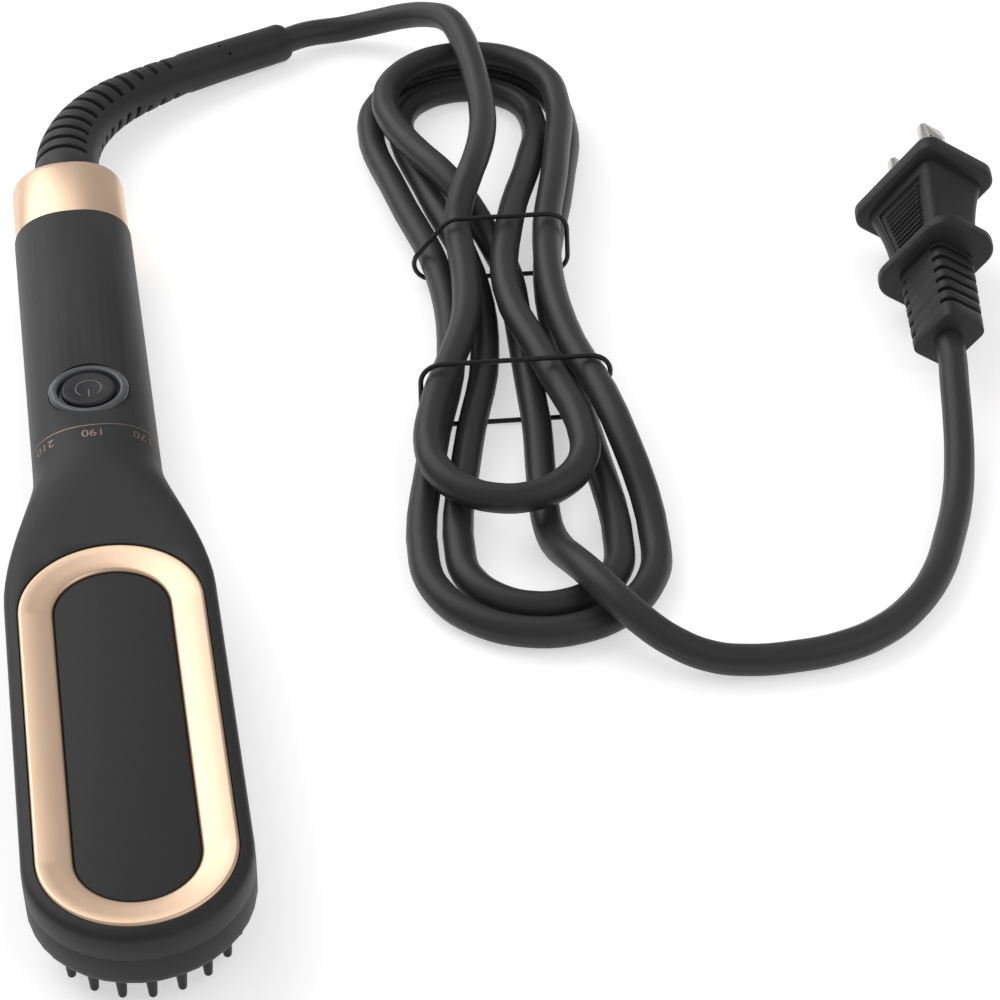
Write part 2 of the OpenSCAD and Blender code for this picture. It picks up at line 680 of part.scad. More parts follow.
// Runs between the folds: [side, distance from the hank's axis at the waist, where its climb starts and ends]
runs = [[-1, 8, 0, 1], [1, 1.5, 40, 84], [-1, 4, 0, 1], [1, 12, 0, 1], [-1, 12, 0, 1], [1, 12, -87, -48]];
start_p = -runs[0][1];
hank_start = 18;
hank_end = -37;
fold_rings = 7;
run_rings = 5;

// Position across the hank of run i, at q, on its way to or from a fold
function run_toward(i, f, q) = runs[i][0] * (runs[i][1] + (f[1] - runs[i][1]) * ease(abs(q) / f[2]))
    + f[3] * ease(abs(q) / f[2]);
function run_p(i, q) = (q * folds[i][0] > 0) ? run_toward(i, folds[i], q)
    : (i == 0) ? runs[0][0] * runs[0][1] : run_toward(i, folds[i - 1], q);
function run_z(i, q) = (i == 0) ? high_layer
    : let (a = folds[i - 1][4], b = folds[i][4], r = runs[i]) a + (b - a) * ease((q - r[2]) / (r[3] - r[2]));
function run_points(i) = let (
        f = folds[i], q1 = f[0] * f[2], q0 = (i == 0) ? hank_start : folds[i - 1][0] * folds[i - 1][2])
    [for (j = [(i == 0 ? 0 : 1) : run_rings - 1]) let (q = q0 + (q1 - q0) * j / run_rings)
        in_hank(run_p(i, q), q, run_z(i, q))];
function fold_points(i) = let (f = folds[i], s = runs[i][0])
    [for (j = [0 : fold_rings]) let (a = 180 * j / fold_rings)
        in_hank(f[3] + s * f[1] * cos(a), f[0] * (f[2] + f[1] * sin(a)), f[4])];
// The last run comes down between the runs of the lower layer
fold_p = folds[5][3] - folds[5][1];
out_p = 4;
function out_point(q) = in_hank(out_p + (fold_p - out_p) * ease((q - 10) / (fold_q - 10)), q,
    low_layer + (high_layer - low_layer) * ease((q - 20) / 30));
hank_points = concat([for (i = [0 : len(folds) - 1]) each concat(run_points(i), fold_points(i))],
    [for (q = [78, 69, 60, 51, 42, 33, 24, 15, 0, -15, hank_end + lead_d, hank_end]) out_point(q)]);

// Least distance between two stretches of the hank that are over 4 diameters of lead apart along it
hank_along = [for (i = 0, s = 0; i < len(hank_points);
    s = s + ((i < len(hank_points) - 1) ? norm(hank_points[i + 1] - hank_points[i]) : 0), i = i + 1) s];
function segment_gap(a, b, c, d) = min([for (s = [0 : 0.2 : 1]) for (t = [0 : 0.2 : 1])
    norm(a + (b - a) * s - c - (d - c) * t)]);
hank_gap = min([for (i = [0 : len(hank_points) - 2]) for (j = [i + 1 : len(hank_points) - 2])
    if (hank_along[j] - hank_along[i + 1] > 3 * lead_d)
        segment_gap(hank_points[i], hank_points[i + 1], hank_points[j], hank_points[j + 1])]) - lead_d;
echo(least_gap_in_the_hank = hank_gap, length_of_the_hank = hank_along[len(hank_along) - 1]);

// Route from the strain relief up over the hank
relief_end = relief_route[len(relief_route) - 1];
relief_dir = unit(relief_end - route_point(relief_route, 0.98));
lead_route = [relief_end, relief_end + lead_d * relief_dir, [80, 74.5, 4.9], [88.5, 73, 7], [96, 68.5, 10.8],
    [102, 61, 15], [106, 52, 18.3], [107.8, 42, 18.9], [108.4, 31, 18.7], [108.3, 19, 18.3],
    [107.6, 7, 18.3], [105.6, -5, 18.8], [102.3, -16, 19.2], [98.8, -24.5, 18.7], [95.6, -31.5, 16],
    in_hank(start_p, hank_start + lead_d, high_layer), in_hank(start_p, hank_start, high_layer)];

// Route from the hank across its near folds and round to the plug
plug_at = [201, -101, 11.44];
plug_turn = -8.7;
plug_pitch = 6.9;
plug_roll = -57;
plug_dir = [-sin(plug_turn) * cos(plug_pitch), cos(plug_turn) * cos(plug_pitch), sin(plug_pitch)];
plug_route = [in_hank(out_p, hank_end, low_layer), in_hank(out_p, hank_end - lead_d, low_layer),
    [98.7, -126, 4.4], [97.6, -136, 3.6], [97.3, -144.5, 3.8], [98, -152, 5.6], [99.5, -160, 8.9],
    [101.8, -168, 11.3],
    [105, -175.5, 11.5], [109.5, -182, 9.8], [115.5, -187, 7], [123, -190.5, 4.6], [131, -192, 3.6],
    [141, -192.5, 3.5], [151, -191.5, 3.5], [161, -188, 3.5], [170, -181.5, 3.5], [178, -172, 3.5],
    [184, -161, 3.6], [189.4, -149, 4.2], [193.3, -137, 5.7], [196.2, -125, 8], [198.3, -115, 9.8],
    plug_at - lead_d * plug_dir, plug_at];

module lead_to_comb() {
    color("#343436") from_tail() sweep(lead_route, lead_r, 8);
}

module lead_hank() {
    color("#343436") from_tail() sweep(hank_points, lead_r, 6);
}

module lead_to_plug() {
    color("#343436") from_tail() sweep(plug_route, lead_r, 8);
}

// ---- ties round the hank ----

// Loop of wire round four runs, given as [across p, height], anticlockwise from the lower left
function tie_corner(c, i) = let (
        n = len(c), a = c[(i + n - 1) % n], b = c[i], d = c[(i + 1) % n],
        a0 = atan2(b[1] - a[1], b[0] - a[0]) + 90, a1 = atan2(d[1] - b[1], d[0] - b[0]) + 90,
        turn = (a1 - a0 > 180) ? a1 - a0 - 360 : (a1 - a0 < -180) ? a1 - a0 + 360 : a1 - a0)
    [for (k = [0 : 4]) let (t = a0 + turn * k / 4) [b[0] + tie_r * cos(t), b[1] + tie_r * sin(t)]];
module tie(corners, q) {
    loop = [for (i = [0 : len(corners) - 1]) each tie_corner(corners, i)];
    color("#1e1e20") from_tail() sweep([for (c = loop) in_hank(c[0], q, c[1])], tie_d / 2, 6,
        up = in_hank(0, 1, 0) - in_hank(0, 0, 0), closed = true);
}
far_q = 22;
near_q = -36;
module tie_far() {
    tie([[run_p(4, far_q), low_layer], [start_p, high_layer], [run_p(5, far_q), high_layer],
        [run_p(3, far_q), low_layer]], far_q);
}
module tie_near() {
    tie([[run_p(4, near_q), low_layer], [run_p(0, near_q), high_layer], [run_p(5, near_q), high_layer],
        [run_p(3, near_q), low_layer]], near_q);
}

// ---- plug ----

tail_l = 25;
tail_w = 15;
tail_h = 11.6;
tail_slots = 6;
slot_pitch = 3.6;
rear_t = 3.6;
rear_w = 28;
rear_h = 19;
front_t = 5;
waist_steps = 7;

// Puts a piece of the plug, drawn along +Y from the end of its tail, where the plug lies
module in_plug() {
    from_tail() translate(plug_at) rotate([0, 0, plug_turn]) rotate([plug_pitch, 0, 0])
        rotate([0, plug_roll, 0]) children();
}

// Block along +Y through sections with rounded corners: [y, width, height, corner radius]
corner_steps = 4;
function section_ring(s) = [for (q = [0 : 3]) for (i = [0 : corner_steps]) let (
        a = 90 * q + 90 * i / corner_steps, x = (q == 0 || q == 3) ? 1 : -1, z = (q < 2) ? 1 : -1)
    [x * (s[1] / 2 - s[3]) + s[3] * cos(a), s[0], z * (s[2] / 2 - s[3]) + s[3] * sin(a)]];
module section_loft(sections) {
    n = len(sections);
    m = 4 * (corner_steps + 1);
    pts = [for (s = sections) each section_ring(s)];
    sides_f = [for (i = [0 : n - 2]) for (j = [0 : m - 1]) let (
            k = (j + 1) % m, a = i * m + j, b = i * m + k, c = (i + 1) * m + k, d = (i + 1) * m + j)
        each [[a, b, c], [a, c, d]]];
    caps = [for (j = [1 : m - 2]) each [[0, j + 1, j], [(n - 1) * m, (n - 1) * m + j, (n - 1) * m + j + 1]]];
    polyhedron(pts, concat(sides_f, caps));
}

module plug_body() {
    rear_y = tail_l + rear_t;
    front_y = plug_l - front_t;
    lip = 0.8;
    // the grip narrows from the front flange to the rear one along a hollow curve
    grip = [for (i = [0 : waist_steps]) let (t = i / waist_steps, c = pow(t, 1.9))
        [rear_y + (front_y - rear_y) * t, 18.6 + (flange_w - 24.6) * c, 14.2 + (flange_h - 18.6) * c, 2.6]];
    color("#303033") in_plug() {
        difference() {
            section_loft([[0, tail_w, tail_h, 2.4], [tail_l + 0.5, tail_w + 0.8, tail_h + 0.8, 2.4]]);
            // flexing slots, cut in turn from each side
            for (i = [0 : tail_slots - 1]) for (s = [-1, 1])
                translate([s * (tail_w / 2 + 0.6), 3.4 + i * slot_pitch + (s + 1) / 4 * slot_pitch, 0])
                    cube([tail_w * 0.45, 1.2, 2 * tail_h], center = true);
        }
        section_loft(concat([[tail_l, rear_w - 2 * lip, rear_h - 2 * lip, 5],
            [tail_l + lip, rear_w, rear_h, 5.8], [rear_y - lip, rear_w, rear_h, 5.8],
            [rear_y, rear_w - 2 * lip, rear_h - 2 * lip, 5]], grip,
            [[front_y, flange_w - lip, flange_h - lip, 3.6], [front_y + lip, flange_w, flange_h, 4],
            [plug_l - lip, flange_w, flange_h, 4], [plug_l, flange_w - 2 * lip, flange_h - 2 * lip, 3.6]]));
    }
}

// The wide blade and the narrow one: [side, width]
blades = [[1, 7.9], [-1, 6.4]];
blade_t = 1.5;
blade_hole = 3.1;
tip_cut = 1.5;

module plug_blades() {
    color("#c8c9cb") in_plug() for (b = blades) translate([b[0] * blade_pitch / 2, plug_l + 0.02, 0])
        difference() {
            union() {
                translate([-blade_t / 2, 0, -b[1] / 2]) cube([blade_t, blade_l - tip_cut, b[1]]);
                translate([-blade_t / 2, blade_l - tip_cut, 0]) rotate([0, 90, 0]) linear_extrude(blade_t)
                    polygon([[-b[1] / 2, 0], [b[1] / 2, 0], [b[1] / 2 - tip_cut, tip_cut],
                        [tip_cut - b[1] / 2, tip_cut]]);
            }
            translate([-5, blade_l - 5, 0]) rotate([0, 90, 0]) cylinder(d = blade_hole, h = 10, $fn = 32);
        }
}

back_shell();
front_shell();
tail_collar();
swivel_housing();
trim_ring();
back_panel();
light_ring();
power_button();
switch_plunger();
tact_switch();
circuit_board();
board_screws();
ring_leds();
guard_frame();
guard_teeth_left();
guard_teeth_right();
guard_teeth_end();
guard_teeth_neck();
heated_plate();
heated_teeth_left();
heated_teeth_middle();
heated_teeth_right();
heating_elements();
insulating_sheet();
clamp_plate();
clamp_screws();
thermal_fuse();
temperature_sensor();
heater_wires();
supply_wires();
strain_relief();
swivel_clip();
lead_to_comb();
lead_hank();
lead_to_plug();
tie_far();
tie_near();
plug_body();
plug_blades();
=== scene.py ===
import json
import math
import bpy
from mathutils import Matrix, Vector

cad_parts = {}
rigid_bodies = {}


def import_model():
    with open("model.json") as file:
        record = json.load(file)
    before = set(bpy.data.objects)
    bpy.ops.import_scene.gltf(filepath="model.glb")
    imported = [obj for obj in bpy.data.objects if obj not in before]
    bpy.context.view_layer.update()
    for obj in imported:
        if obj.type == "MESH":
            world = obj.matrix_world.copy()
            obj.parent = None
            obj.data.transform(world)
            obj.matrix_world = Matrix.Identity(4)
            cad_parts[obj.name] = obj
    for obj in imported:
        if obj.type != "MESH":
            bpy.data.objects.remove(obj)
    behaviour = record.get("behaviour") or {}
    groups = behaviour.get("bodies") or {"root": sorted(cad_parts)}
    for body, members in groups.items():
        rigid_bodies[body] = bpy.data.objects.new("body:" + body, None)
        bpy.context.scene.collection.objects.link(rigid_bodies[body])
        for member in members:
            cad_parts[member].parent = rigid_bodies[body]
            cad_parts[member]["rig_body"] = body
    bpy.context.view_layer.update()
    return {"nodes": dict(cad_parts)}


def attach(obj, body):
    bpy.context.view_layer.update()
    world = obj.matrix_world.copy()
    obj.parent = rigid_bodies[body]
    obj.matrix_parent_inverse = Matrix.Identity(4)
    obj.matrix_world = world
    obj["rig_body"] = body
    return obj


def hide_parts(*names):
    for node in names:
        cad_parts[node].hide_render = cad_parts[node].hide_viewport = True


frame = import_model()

# Camera, table and lamps.
# The comb is seen from beyond its head, looking down along it, with the hank and plug to its right.
# The table is white and keeps a faint shadow; a large lamp behind the left gives the handle its sheen.
mm = 0.001
camera = bpy.data.objects.new("camera", bpy.data.cameras.new("camera"))
bpy.context.scene.collection.objects.link(camera)
camera.location = (2.89 * mm, -491.89 * mm, 423.56 * mm)
camera.rotation_euler = (math.radians(49.96), 0, math.radians(-9.84))
camera.data.lens = 104.7
camera.data.sensor_width = 36
camera.data.clip_start = 0.01
bpy.context.scene.camera = camera
bpy.context.scene.view_settings.view_transform = "Standard"

bpy.ops.object.select_all(action="DESELECT")
bpy.ops.mesh.primitive_plane_add(size=14, location=(0, 0, -0.0002))
table = bpy.context.object
table.name = "table"
table_white = bpy.data.materials.new("table_white")
table_white.use_nodes = True
nodes, links = table_white.node_tree.nodes, table_white.node_tree.links
nodes.clear()
table_out = nodes.new("ShaderNodeOutputMaterial")
table_diffuse = nodes.new("ShaderNodeBsdfDiffuse")
table_diffuse.inputs["Color"].default_value = (0.86, 0.86, 0.86, 1)
table_lift = nodes.new("ShaderNodeEmission")
table_ray = nodes.new("ShaderNodeLightPath")
table_seen = nodes.new("ShaderNodeMath")
table_seen.operation = "MAXIMUM"
links.new(table_ray.outputs["Is Camera Ray"], table_seen.inputs[0])
links.new(table_ray.outputs["Is Glossy Ray"], table_seen.inputs[1])
table_strength = nodes.new("ShaderNodeMath")
table_strength.operation = "MULTIPLY"
table_strength.inputs[1].default_value = 0.52
links.new(table_seen.outputs[0], table_strength.inputs[0])
links.new(table_strength.outputs[0], table_lift.inputs["Strength"])
table_sum = nodes.new("ShaderNodeAddShader")
links.new(table_diffuse.outputs[0], table_sum.inputs[0])
links.new(table_lift.outputs[0], table_sum.inputs[1])
links.new(table_sum.outputs[0], table_out.inputs["Surface"])
table.data.materials.append(table_white)

room = bpy.data.worlds.new("room")
bpy.context.scene.world = room
room.use_nodes = True
nodes, links = room.node_tree.nodes, room.node_tree.links
nodes.clear()
room_out = nodes.new("ShaderNodeOutputWorld")
room_light = nodes.new("ShaderNodeBackground")
room_light.inputs["Color"].default_value = (1, 1, 1, 1)
room_ray = nodes.new("ShaderNodeLightPath")
room_level = nodes.new("ShaderNodeMapRange")
room_level.inputs["To Min"].default_value = 0.42
room_level.inputs["To Max"].default_value = 1.0
links.new(room_ray.outputs["Is Camera Ray"], room_level.inputs["Value"])
links.new(room_level.outputs["Result"], room_light.inputs["Strength"])
links.new(room_light.outputs[0], room_out.inputs["Surface"])


def lamp(name, place, aim, size, watts):
    """A square lamp, place and aim in metres, that shines from place towards aim."""
    light = bpy.data.lights.new(name, "AREA")
    light.size = size
    light.energy = watts
    body = bpy.data.objects.new(name, light)
    bpy.context.scene.collection.objects.link(body)
    body.location = place
    body.rotation_euler = (Vector(aim) - Vector(place)).to_track_quat("-Z", "Y").to_euler()


lamp("lamp_back_left", (-0.9, 1.2, 1.3), (0, 0, 0), 1.9, 20)
lamp("lamp_front_right", (1.1, -0.7, 1.2), (0.05, 0, 0), 1.3, 4)

# Mains lead.
# One length of round black flexible cord, 7 mm across, from the strain relief to the plug.
# It is folded into a flat hank with two wire ties, and comes out of the near end to the plug.
lead_d = 7
lead_r = lead_d / 2
layer_gap = 0.7
tie_gap = 0.85
low = lead_r
high = lead_r + lead_d + layer_gap
tail_y = 132
fold_q = 87
waist_share = 0.4
hank_middle = (100, -64)
hank_turn = math.radians(-4)
tie_wire_d = 1.2
tie_r = lead_r + tie_gap + tie_wire_d / 2
waist_lift = tie_r - lead_r + tie_wire_d / 2


def ease(t):
    """Smooth step from 0 to 1."""
    t = min(1.0, max(0.0, t))
    return t * t * (3 - 2 * t)


def in_hank(p, q, z):
    """Place of a point of the hank: p across it, q along it, lifted off the table where the ties are."""
    cosine, sine = math.cos(hank_turn), math.sin(hank_turn)
    lift = waist_lift * min(1.0, max(0.0, (1 - abs(q) / fold_q) / waist_share))
    x = hank_middle[0] + p * cosine - q * sine
    y = hank_middle[1] + p * sine + q * cosine
    return x, y, z + lift


# Folds, in the order in which the lead passes them: end of the hank, radius, where it starts
# along the hank, its shift across the hank, height.
inner_r = 17.5
outer_r = inner_r + lead_d + 1.1
folds = [(-1, inner_r, 60, -4.5, high), (1, inner_r, fold_q, 0, low), (-1, inner_r, fold_q, 0, low),
         (1, outer_r, fold_q, 0, low), (-1, outer_r, fold_q, 0, low), (1, 22.5, fold_q, 1, high)]
# Runs that lead to the folds: side of the hank, distance from its axis at the waist, and where the
# run changes its height.
runs = [(-1, 8, 0, 1), (1, 1.5, 40, 84), (-1, 4, 0, 1), (1, 12, 0, 1), (-1, 12, 0, 1), (1, 12, -87, -48)]
# The run that leaves for the plug: across the hank at its waist and at the far fold.
start_p = -8
out_p = 4
out_fold_p = -21.5


def run_toward(i, fold, q):
    """Position across the hank of run i at q, on its way from the waist to a fold."""
    side, waist = runs[i][0], runs[i][1]
    share = ease(abs(q) / fold[2])
    return side * (waist + (fold[1] - waist) * share) + fold[3] * share


def run_p(i, q):
    """Position of run i across the hank at q."""
    if q * folds[i][0] > 0:
        return run_toward(i, folds[i], q)
    return runs[0][0] * runs[0][1] if i == 0 else run_toward(i, folds[i - 1], q)


def run_z(i, q):
    """Height of run i at q, before the lift at the waist."""
    if i == 0:
        return high
    before, after = folds[i - 1][4], folds[i][4]
    return before + (after - before) * ease((q - runs[i][2]) / (runs[i][3] - runs[i][2]))


# Middle of the strain relief, from the collar to its end on the table.
relief_route = [(0, 0, 9.97), (0, 6, 9.7), (1.5, 18, 9.4), (6, 30, 9), (14, 41, 8.3),
                (25, 50, 7.3), (38, 58, 6.4), (50, 64, 5.7), (63, 70, 5.3)]
# Middle of the lead: from the strain relief up over the hank, round its folds, and out to the plug.
hank_from = 18
run_steps = 5
fold_steps = 7
lead_points = [(63, 70, 5.3), (69.3, 73, 5.1), (80, 74.5, 4.9), (88.5, 73, 7), (96, 68.5, 10.8),
               (102, 61, 15), (106, 52, 18.3), (107.8, 42, 18.9), (108.4, 31, 18.7), (108.3, 19, 18.3),
               (107.6, 7, 18.3), (105.6, -5, 18.8), (102.3, -16, 19.2), (98.8, -24.5, 18.7),
               (95.6, -31.5, 16), in_hank(start_p, 25, high)]
for i, (end, radius, middle, shift, layer) in enumerate(folds):
    q_from = hank_from if i == 0 else folds[i - 1][0] * folds[i - 1][2]
    q_to = end * middle
    for j in range(0 if i == 0 else 1, run_steps):
        q = q_from + (q_to - q_from) * j / run_steps
        lead_points.append(in_hank(run_p(i, q), q, run_z(i, q)))
    for j in range(fold_steps + 1):
        a = math.radians(180 * j / fold_steps)
        p = shift + runs[i][0] * radius * math.cos(a)
        q = end * (middle + radius * math.sin(a))
        lead_points.append(in_hank(p, q, layer))
for q in (78, 69, 60, 51, 42, 33, 24, 15, 0, -15, -30, -37, -44):
    p = out_p + (out_fold_p - out_p) * ease((q - 10) / (fold_q - 10))
    lead_points.append(in_hank(p, q, low + (high - low) * ease((q - 20) / 30)))
plug_at = (201, -101, 11.44)
lead_points += [(98.7, -126, 4.4), (97.6, -136, 3.6), (97.3, -144.5, 3.8), (98, -152, 5.6),
                (99.5, -160, 8.9), (101.8, -168, 11.3), (105, -175.5, 11.5), (109.5, -182, 9.8),
                (115.5, -187, 7), (123, -190.5, 4.6), (131, -192, 3.6), (141, -192.5, 3.5),
                (151, -191.5, 3.5), (161, -188, 3.5), (170, -181.5, 3.5), (178, -172, 3.5),
                (184, -161, 3.6), (189.4, -149, 4.2), (193.3, -137, 5.7), (196.2, -125, 8),
                (198.3, -115, 9.8), (199.95, -107.87, 10.6), plug_at]


def smooth_curve(name, points, thickness, closed=False):
    """A round curve through points that are measured in mm from the comb's tail."""
    line = bpy.data.curves.new(name, "CURVE")
    line.dimensions = "3D"
    line.resolution_u = 5
    line.bevel_depth = thickness / 2 * mm
    line.bevel_resolution = 4
    line.use_fill_caps = not closed
    spline = line.splines.new("BEZIER")
    spline.bezier_points.add(len(points) - 1)
    for knot, place in zip(spline.bezier_points, points):
        knot.co = Vector((place[0], place[1] + tail_y, place[2])) * mm
        knot.handle_left_type = knot.handle_right_type = "AUTO"
    spline.use_cyclic_u = closed
    piece = bpy.data.objects.new(name, line)
    bpy.context.scene.collection.objects.link(piece)
    return piece


def moulded(name, colour, roughness, grain, relief, mottle=0.12, coat=0.0):
    """Moulded plastic or rubber: fine cast grain, with slow changes of tone and gloss."""
    finish = bpy.data.materials.new(name)
    finish.use_nodes = True
    nodes, links = finish.node_tree.nodes, finish.node_tree.links
    skin = nodes["Principled BSDF"]
    skin.inputs["Roughness"].default_value = roughness
    skin.inputs["Specular IOR Level"].default_value = 0.33
    skin.inputs["Coat Weight"].default_value = coat
    place = nodes.new("ShaderNodeTexCoord")
    fine = nodes.new("ShaderNodeTexNoise")
    fine.inputs["Scale"].default_value = 1 / (grain * mm)
    fine.inputs["Detail"].default_value = 3
    broad = nodes.new("ShaderNodeTexNoise")
    broad.inputs["Scale"].default_value = 55
    broad.inputs["Detail"].default_value = 4
    links.new(place.outputs["Object"], fine.inputs["Vector"])
    links.new(place.outputs["Object"], broad.inputs["Vector"])
    tone = nodes.new("ShaderNodeMix")
    tone.data_type = "RGBA"
    tone.inputs[6].default_value = [c * (1 - mottle) for c in colour] + [1]
    tone.inputs[7].default_value = [min(1, c * (1 + mottle)) for c in colour] + [1]
    links.new(broad.outputs["Fac"], tone.inputs[0])
    links.new(tone.outputs[2], skin.inputs["Base Color"])
    gloss = nodes.new("ShaderNodeMapRange")
    gloss.inputs["To Min"].default_value = max(0.05, roughness - 0.07)
    gloss.inputs["To Max"].default_value = min(1, roughness + 0.07)
    links.new(fine.outputs["Fac"], gloss.inputs["Value"])
    links.new(gloss.outputs["Result"], skin.inputs["Roughness"])
    bump = nodes.new("ShaderNodeBump")
    bump.inputs["Strength"].default_value = 0.35
    bump.inputs["Distance"].default_value = relief * mm
    links.new(fine.outputs["Fac"], bump.inputs["Height"])
    links.new(bump.outputs["Normal"], skin.inputs["Normal"])
    return finish


lead_rubber = moulded("lead_rubber", (0.036, 0.036, 0.038), 0.42, 0.5, 0.02)
lead = smooth_curve("lead", lead_points, lead_d)
lead.data.materials.append(lead_rubber)
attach(lead, "cord_set")
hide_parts("lead_to_comb", "lead_hank", "lead_to_plug")

# Strain relief.
# A soft moulded sleeve that turns with the lead in the collar: a plain root, twelve slots that let it
# bend with a spine left along each side, and a smooth end gripped on the lead.
relief_material = moulded("relief_rubber", (0.029, 0.029, 0.031), 0.5, 0.4, 0.03)


def only(piece):
    """Makes the piece the one selected and active object."""
    if bpy.context.object and bpy.context.object.mode != "OBJECT":
        bpy.ops.object.mode_set(mode="OBJECT")
    bpy.ops.object.select_all(action="DESELECT")
    piece.select_set(True)
    bpy.context.view_layer.objects.active = piece


def pick_faces(piece, wanted):
    """Goes into edit mode with just the wanted faces selected."""
    only(piece)
    bpy.context.tool_settings.mesh_select_mode = (False, False, True)
    for part in list(piece.data.vertices) + list(piece.data.edges) + list(piece.data.polygons):
        part.select = False
    for face in piece.data.polygons:
        face.select = wanted(face)
    bpy.ops.object.mode_set(mode="EDIT")


def eased(piece, edge, angle, segments=2):
    """Rounds the edges that are sharper than angle."""
    only(piece)
    bevel = piece.modifiers.new("edge", "BEVEL")
    bevel.width = edge * mm
    bevel.segments = segments
    bevel.limit_method = "ANGLE"
    bevel.angle_limit = math.radians(angle)
    bpy.ops.object.modifier_apply(modifier="edge")


def finished(piece, edge=0.0, angle=35, segments=2, smooth=30):
    """Rounds the sharp edges where edge is given, and shades the piece smooth."""
    if edge:
        eased(piece, edge, angle, segments)
    only(piece)
    bpy.ops.object.shade_smooth_by_angle(angle=math.radians(smooth))


def cut(piece, cutter):
    """Takes the cutter out of the piece and removes it."""
    only(piece)
    hole = piece.modifiers.new("cut", "BOOLEAN")
    hole.object = cutter
    hole.operation = "DIFFERENCE"
    bpy.ops.object.modifier_apply(modifier="cut")
    bpy.data.objects.remove(cutter)


def joined(pieces):
    """One object out of several; it keeps the place of the first."""
    bpy.ops.object.select_all(action="DESELECT")
    for piece in pieces:
        piece.select_set(True)
    bpy.context.view_layer.objects.active = pieces[0]
    bpy.ops.object.join()
    return bpy.context.object


def route_point(points, t):
    """Point at fraction t of a route, on a smooth curve through its points."""
    n = len(points) - 1
    i = min(n - 1, int(t * n))
    f = t * n - i
    a, b = Vector(points[max(0, i - 1)]), Vector(points[i])
    c, d = Vector(points[i + 1]), Vector(points[min(n, i + 2)])
    return b + f * ((c - a) / 2 + f * (a - 2.5 * b + 2 * c - d / 2 + f * (1.5 * (b - c) + (d - a) / 2)))


relief_steps = 60
relief_line = [route_point(relief_route, i / relief_steps) for i in range(relief_steps + 1)]
relief_l = sum((b - a).length for a, b in zip(relief_line, relief_line[1:]))
root_r = 8.2
tip_r = 5.2
slot_count = 12
slot_w = 1.7
slot_depth = 1.5
slots_from, slots_to = 0.07, 0.66
slot_pitch = (slots_to - slots_from) / slot_count
slot_starts = [relief_l * (slots_from + slot_pitch * i) + 0.5 for i in range(slot_count)]
# Sections of the straight sleeve: (distance from the collar, radius).
relief_sections = [(0.0, root_r), (3.5, root_r)]
for start in slot_starts:
    for x in (start, start + slot_w):
        relief_sections.append((x, root_r - (root_r - tip_r) * ease(1.25 * x / relief_l)))
smooth_end = [(0.675, tip_r), (0.69, 5.45), (0.8, 5.3), (0.93, tip_r), (0.985, tip_r), (1, 4.6)]
relief_sections += [(relief_l * share, r) for share, r in smooth_end]
bpy.ops.object.select_all(action="DESELECT")
bpy.ops.mesh.primitive_circle_add(vertices=48, radius=root_r * mm, fill_type="NGON",
                                  rotation=(0, math.radians(90), 0))
relief = bpy.context.object
relief.name = "strain_relief_rubber"
bpy.ops.object.transform_apply(location=True, rotation=True, scale=True)
bpy.ops.object.mode_set(mode="EDIT")
bpy.ops.mesh.select_all(action="SELECT")
for (x0, r0), (x1, r1) in zip(relief_sections, relief_sections[1:]):
    bpy.ops.mesh.extrude_region_move(TRANSFORM_OT_translate={"value": ((x1 - x0) * mm, 0, 0)})
    bpy.ops.transform.resize(value=(1, r1 / r0, r1 / r0), center_override=(x1 * mm, 0, 0))
bpy.ops.mesh.select_all(action="SELECT")
bpy.ops.mesh.normals_make_consistent(inside=False)


def in_slot(face):
    """Whether a face of the sleeve is to sink into a slot; the two spines are wider in the far half."""
    x, y, z = face.center / mm
    spine = 0.38 if x < 0.5 * relief_l else 0.6
    spine_side = math.radians(155)
    between = any(start < x < start + slot_w for start in slot_starts)
    off_spine = abs(math.sin(math.atan2(z, y) - spine_side)) > spine
    return between and abs(face.normal.x) < 0.5 and off_spine


bpy.ops.object.mode_set(mode="OBJECT")
pick_faces(relief, in_slot)
bpy.ops.mesh.extrude_region_shrink_fatten(TRANSFORM_OT_shrink_fatten={"value": -slot_depth * mm})
bpy.ops.object.mode_set(mode="OBJECT")
eased(relief, 0.25, 40)
relief_path = bpy.data.objects.new("relief_path", bpy.data.curves.new("relief_path", "CURVE"))
relief_path.data.dimensions = "3D"
relief_path.data.twist_mode = "Z_UP"
path_spline = relief_path.data.splines.new("POLY")
path_spline.points.add(relief_steps)
for knot, place in zip(path_spline.points, relief_line):
    knot.co = (place.x * mm, (place.y + tail_y) * mm, place.z * mm, 1)
bpy.context.scene.collection.objects.link(relief_path)
relief_bend = relief.modifiers.new("bend", "CURVE")
relief_bend.object = relief_path
relief_bend.deform_axis = "POS_X"
bpy.ops.object.modifier_apply(modifier="bend")
bpy.data.objects.remove(relief_path)
# Two pin holes of the mould in the smooth end: (fraction of the route, angle over the table).
for t, rise in ((0.83, 48), (0.815, 82)):
    middle, ahead = route_point(relief_route, t), route_point(relief_route, t + 0.01)
    along = (ahead - middle).normalized()
    aside = Vector((along.y, -along.x, 0)).normalized()
    out = aside * math.cos(math.radians(rise)) + Vector((0, 0, 1)) * math.sin(math.radians(rise))
    pin = (middle + out * tip_r + Vector((0, tail_y, 0))) * mm
    bpy.ops.object.select_all(action="DESELECT")
    bpy.ops.mesh.primitive_cylinder_add(vertices=16, radius=0.4 * mm, depth=2.4 * mm, location=pin,
                                        rotation=out.to_track_quat("Z", "Y").to_euler())
    cut(relief, bpy.context.object)
bpy.ops.object.shade_smooth_by_angle(angle=math.radians(35))
relief.data.materials.append(relief_material)
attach(relief, "cord_set")

